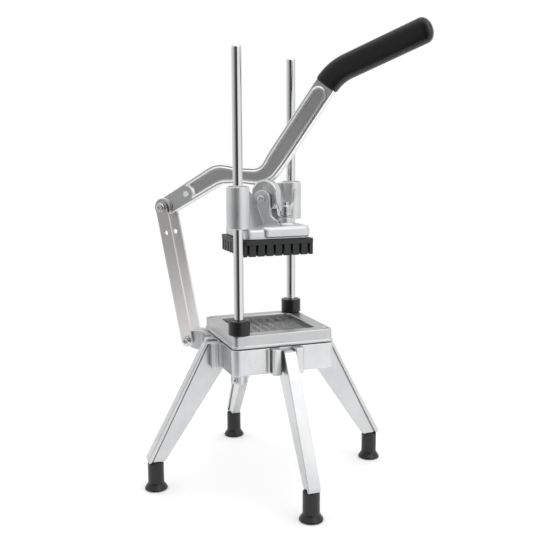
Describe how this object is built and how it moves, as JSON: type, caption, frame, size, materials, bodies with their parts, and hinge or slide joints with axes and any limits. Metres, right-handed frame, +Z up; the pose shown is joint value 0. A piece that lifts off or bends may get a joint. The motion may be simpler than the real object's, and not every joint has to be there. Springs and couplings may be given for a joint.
{
  "type": "vegetable dicer",
  "caption": "Bench-top lever press that pushes a vegetable through two crossed sets of blades into a pan below.",
  "frame": {"origin": "on the floor, under the middle of the whole part's box", "axes": "+Z up; the guide rods stand on a line along X; the handle points to -Y and the link bars are on the +Y side"},
  "size_m": [0.2426, 0.3716, 0.5746],
  "materials": {
    "cast_aluminium": "satin cast, lightly blasted",
    "chromed_steel": "polished",
    "stainless_steel": "brushed",
    "zinc_plated_steel": "bright zinc plate",
    "black_rubber": "moulded",
    "black_plastic": "moulded, matt",
    "dipped_vinyl": "dipped, satin",
    "white_nylon": "moulded, matt"
  },
  "bodies": {
    "base": {"base_skirt": "cast_aluminium", "blade_frame": "cast_aluminium", "bracket_bolt": "stainless_steel", "bracket_nut": "stainless_steel", "bracket_screw_left": "zinc_plated_steel", "bracket_screw_right": "zinc_plated_steel", "foot_1": "black_rubber", "foot_2": "black_rubber", "foot_3": "black_rubber", "foot_4": "black_rubber", "frame_screw_front": "zinc_plated_steel", "frame_screw_rear": "zinc_plated_steel", "guide_rod_left": "chromed_steel", "guide_rod_right": "chromed_steel", "leg_1": "cast_aluminium", "leg_2": "cast_aluminium", "leg_3": "cast_aluminium", "leg_4": "cast_aluminium", "leg_bolt_1": "zinc_plated_steel", "leg_bolt_2": "zinc_plated_steel", "leg_bolt_3": "zinc_plated_steel", "leg_bolt_4": "zinc_plated_steel", "link_bracket": "cast_aluminium", "lower_blade_1": "stainless_steel", "lower_blade_2": "stainless_steel", "lower_blade_3": "stainless_steel", "lower_blade_4": "stainless_steel", "lower_blade_5": "stainless_steel", "lower_blade_6": "stainless_steel", "lower_blade_7": "stainless_steel", "lower_blade_8": "stainless_steel", "rod_set_screw_left": "zinc_plated_steel", "rod_set_screw_right": "zinc_plated_steel", "rubber_stop_left": "black_rubber", "rubber_stop_right": "black_rubber", "upper_blade_1": "stainless_steel", "upper_blade_2": "stainless_steel", "upper_blade_3": "stainless_steel", "upper_blade_4": "stainless_steel", "upper_blade_5": "stainless_steel", "upper_blade_6": "stainless_steel", "upper_blade_7": "stainless_steel", "upper_blade_8": "stainless_steel"},
    "head": {"head_casting": "cast_aluminium", "guide_bush_left": "white_nylon", "guide_bush_right": "white_nylon", "pusher_block": "black_plastic", "pusher_stud": "zinc_plated_steel", "pusher_locating_pin": "zinc_plated_steel", "stud_washer": "zinc_plated_steel", "fulcrum_bolt": "stainless_steel", "fulcrum_nut": "stainless_steel"},
    "lever": {"lever_arm": "cast_aluminium", "lever_rear_pin": "stainless_steel", "handle_grip": "dipped_vinyl"},
    "link": {"link_bar_left": "stainless_steel", "link_bar_right": "stainless_steel", "link_stub_left": "stainless_steel", "link_stub_right": "stainless_steel"},
    "clamp_nut": {"wing_nut": "zinc_plated_steel"}
  },
  "joints": [
    {"name": "head_slide", "type": "slide", "parent": "base", "child": "head", "axis": [0, 0, 1], "range_m": [-0.11, 0.01]},
    {"name": "lever_pivot", "type": "hinge", "parent": "head", "child": "lever", "pos_m": [0, 0.02394, 0.366], "axis": [1, 0, 0], "range_deg": [-4.4, 46.9]},
    {"name": "link_pivot", "type": "hinge", "parent": "base", "child": "link", "pos_m": [0, 0.13744, 0.172], "axis": [1, 0, 0], "range_deg": [-1.2, 11.5]},
    {"name": "wing_nut_turn", "type": "hinge", "parent": "head", "child": "clamp_nut", "pos_m": [0, -0.00306, 0.345], "axis": [0, 0, 1], "range_deg": [-15, 60]}
  ],
  "couplings": [
    {"joint": "lever_pivot", "follows": "head_slide", "rad_per_m": -7.416},
    {"joint": "link_pivot", "follows": "head_slide", "rad_per_m": -1.81}
  ]
}
